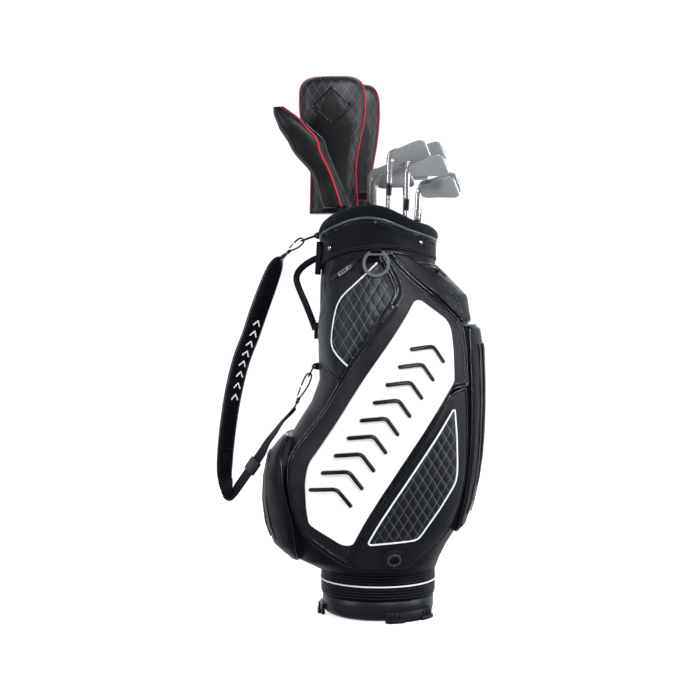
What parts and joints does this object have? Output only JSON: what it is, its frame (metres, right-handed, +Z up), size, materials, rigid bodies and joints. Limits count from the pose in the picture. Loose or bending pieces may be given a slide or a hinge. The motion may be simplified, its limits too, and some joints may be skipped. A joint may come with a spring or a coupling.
{
  "type": "golf staff bag",
  "caption": "Upright golf staff bag with zipped pockets, a carry handle and a shoulder strap, holding irons and covered woods that lift out.",
  "frame": {"origin": "centre of the tub's flat underside, on the floor", "axes": "+Z up the bag; -Y is the front with the large ball pocket; -X is the side of the carry handle and shoulder strap"},
  "size_m": [0.5815, 0.3616, 1.1743],
  "materials": {
    "bag_leather": "pebbled synthetic leather, low sheen",
    "satin_fabric": "tight satin-weave nylon",
    "fleece": "short brushed fleece",
    "moulded_plastic": "fine-textured injection moulding",
    "webbing": "woven nylon webbing",
    "strap_leather": "padded synthetic leather with a satin sheen",
    "gunmetal": "dark nickel plate",
    "iron_steel": "satin-brushed face, polished edges",
    "shaft_steel": "polished stepped steel, rubber grip below",
    "shaft_graphite": "lacquered graphite, rubber grip below",
    "headcover_leather": "quilted synthetic leather with red piping"
  },
  "bodies": {
    "bag": {"base_tub": "moulded_plastic", "foot_left": "moulded_plastic", "foot_front": "moulded_plastic", "foot_back": "moulded_plastic", "club_tube": "moulded_plastic", "lower_cuff": "satin_fabric", "cuff_band": "satin_fabric", "top_collar": "fleece", "six_way_divider": "moulded_plastic", "body_shell": "bag_leather", "ball_pocket": "bag_leather", "lower_front_pocket": "bag_leather", "valuables_pocket": "bag_leather", "upper_right_pocket": "bag_leather", "apparel_pocket": "bag_leather", "accessory_pocket": "bag_leather", "umbrella_tab": "bag_leather", "umbrella_eyelet": "gunmetal", "towel_tab": "webbing", "carry_handle": "moulded_plastic", "top_ring_tab": "bag_leather", "top_d_ring": "gunmetal", "low_ring_tab": "bag_leather", "low_d_ring": "gunmetal"},
    "towel_ring": {"towel_ring": "moulded_plastic"},
    "shoulder_strap": {"top_hook": "gunmetal", "low_hook": "gunmetal", "strap_pad": "strap_leather", "strap_low_webbing": "webbing", "strap_adjuster": "moulded_plastic"},
    "top_gate": {"top_hook_gate": "gunmetal"},
    "low_gate": {"low_hook_gate": "gunmetal"},
    "valuables_slider": {"valuables_zip_slider": "gunmetal"},
    "valuables_pull": {"valuables_zip_pull": "moulded_plastic"},
    "ball_slider": {"ball_zip_slider": "gunmetal"},
    "ball_pull": {"ball_zip_pull": "moulded_plastic"},
    "upper_slider": {"upper_zip_slider": "gunmetal"},
    "upper_pull": {"upper_zip_pull": "moulded_plastic"},
    "iron_1": {"iron_1_shaft": "shaft_steel", "iron_1_head": "iron_steel"},
    "iron_2": {"iron_2_shaft": "shaft_steel", "iron_2_head": "iron_steel"},
    "iron_3": {"iron_3_shaft": "shaft_steel", "iron_3_head": "iron_steel"},
    "iron_4": {"iron_4_shaft": "shaft_steel", "iron_4_head": "iron_steel"},
    "iron_5": {"iron_5_shaft": "shaft_steel", "iron_5_head": "iron_steel"},
    "iron_6": {"iron_6_shaft": "shaft_steel", "iron_6_head": "iron_steel"},
    "iron_7": {"iron_7_shaft": "shaft_steel", "iron_7_head": "iron_steel"},
    "iron_8": {"iron_8_shaft": "shaft_steel", "iron_8_head": "iron_steel"},
    "driver": {"driver_shaft": "shaft_graphite", "driver_cover": "headcover_leather"},
    "fairway": {"fairway_shaft": "shaft_graphite", "fairway_cover": "headcover_leather"},
    "hybrid": {"hybrid_shaft": "shaft_graphite", "hybrid_cover": "headcover_leather"}
  },
  "joints": [
    {"name": "towel_ring_swing", "type": "hinge", "parent": "bag", "child": "towel_ring", "pos_m": [-0.007, -0.16, 0.7857], "axis": [-1, 0, 0], "range_deg": [0, 100]},
    {"name": "strap_swing", "type": "hinge", "parent": "bag", "child": "shoulder_strap", "pos_m": [-0.168, -0.034, 0.8124], "axis": [-0.056, 0, 0.9984], "range_deg": [-25, 35]},
    {"name": "top_gate_press", "type": "hinge", "parent": "shoulder_strap", "child": "top_gate", "pos_m": [-0.1937, -0.034, 0.7967], "axis": [0, 1, 0], "range_deg": [0, 24], "stiffness_Nm_per_rad": 0.02, "springref_deg": -17.19},
    {"name": "low_gate_press", "type": "hinge", "parent": "shoulder_strap", "child": "low_gate", "pos_m": [-0.17595, -0.034, 0.47579], "axis": [0, 1, 0], "range_deg": [0, 24], "stiffness_Nm_per_rad": 0.02, "springref_deg": -17.19},
    {"name": "valuables_zip_slide", "type": "slide", "parent": "bag", "child": "valuables_slider", "axis": [-0.7635, 0.3559, -0.5389], "range_m": [0, 0.03]},
    {"name": "valuables_pull_swing", "type": "hinge", "parent": "valuables_slider", "child": "valuables_pull", "pos_m": [-0.06068, -0.14175, 0.7538], "axis": [-0.3565, 0.4636, 0.8112], "range_deg": [0, 140]},
    {"name": "ball_zip_slide", "type": "slide", "parent": "bag", "child": "ball_slider", "axis": [-0.5442, -0.1939, -0.8163], "range_m": [0, 0.06]},
    {"name": "ball_pull_swing", "type": "hinge", "parent": "ball_slider", "child": "ball_pull", "pos_m": [0.02367, -0.19022, 0.66619], "axis": [-0.8387, 0.1526, 0.5228], "range_deg": [0, 140]},
    {"name": "upper_zip_slide", "type": "slide", "parent": "bag", "child": "upper_slider", "axis": [0.7368, 0.1526, -0.6587], "range_m": [0, 0.02]},
    {"name": "upper_pull_swing", "type": "hinge", "parent": "upper_slider", "child": "upper_pull", "pos_m": [0.12591, -0.09784, 0.74891], "axis": [-0.2067, -0.8767, -0.4344], "range_deg": [0, 140]},
    {"name": "iron_1_lift", "type": "slide", "parent": "bag", "child": "iron_1", "axis": [-0.0012, 0.0213, 0.9998], "range_m": [0, 0.88]},
    {"name": "iron_2_lift", "type": "slide", "parent": "bag", "child": "iron_2", "axis": [0.0024, -0.0071, 1], "range_m": [0, 0.88]},
    {"name": "iron_3_lift", "type": "slide", "parent": "bag", "child": "iron_3", "axis": [0.0118, -0.0136, 0.9998], "range_m": [0, 0.88]},
    {"name": "iron_4_lift", "type": "slide", "parent": "bag", "child": "iron_4", "axis": [0.0083, 0.0225, 0.9997], "range_m": [0, 0.88]},
    {"name": "iron_5_lift", "type": "slide", "parent": "bag", "child": "iron_5", "axis": [0.0189, 0.0012, 0.9998], "range_m": [0, 0.88]},
    {"name": "iron_6_lift", "type": "slide", "parent": "bag", "child": "iron_6", "axis": [0.0154, -0.0124, 0.9998], "range_m": [0, 0.88]},
    {"name": "iron_7_lift", "type": "slide", "parent": "bag", "child": "iron_7", "axis": [0.0614, -0.0112, 0.9981], "range_m": [0, 0.88]},
    {"name": "iron_8_lift", "type": "slide", "parent": "bag", "child": "iron_8", "axis": [0.0473, -0.003, 0.9989], "range_m": [0, 0.88]},
    {"name": "driver_lift", "type": "slide", "parent": "bag", "child": "driver", "axis": [-0.0213, 0.0024, 0.9998], "range_m": [0, 0.88]},
    {"name": "fairway_lift", "type": "slide", "parent": "bag", "child": "fairway", "axis": [-0.0331, -0.0118, 0.9994], "range_m": [0, 0.88]},
    {"name": "hybrid_lift", "type": "slide", "parent": "bag", "child": "hybrid", "axis": [-0.013, 0.0189, 0.9997], "range_m": [0, 0.88]}
  ]
}
